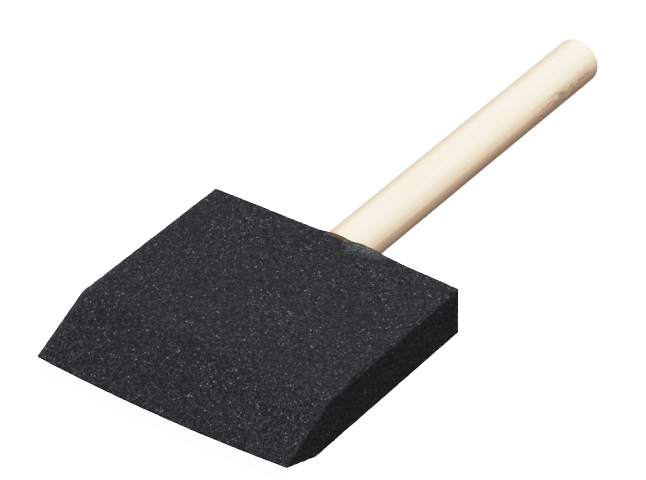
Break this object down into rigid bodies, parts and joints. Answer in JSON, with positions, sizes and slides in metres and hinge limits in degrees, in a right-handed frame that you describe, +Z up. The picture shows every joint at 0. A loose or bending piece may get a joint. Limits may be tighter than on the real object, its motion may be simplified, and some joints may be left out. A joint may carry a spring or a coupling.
{
  "type": "foam sponge brush",
  "caption": "Disposable paint brush: a bevelled black foam block on a flat plastic core, with a plain round wooden dowel handle.",
  "frame": {"origin": "on the resting plane, under the middle of the whole brush's bounding box", "axes": "+Z up through the foam's thickness, away from the surface the brush lies on; +Y from the foam's working edge towards the handle's butt; +X across the head"},
  "size_m": [0.075, 0.1832, 0.0145],
  "materials": {
    "foam": "matt open-cell polyurethane foam, charcoal",
    "wood": "bare sanded birch",
    "core_plastic": "natural polyethylene, satin",
    "adhesive": "hot-melt glue, amber"
  },
  "bodies": {
    "root": {"foam_head": "foam", "core_insert": "core_plastic", "dowel_handle": "wood", "adhesive_film_top": "adhesive", "adhesive_film_bottom": "adhesive"}
  },
  "joints": []
}
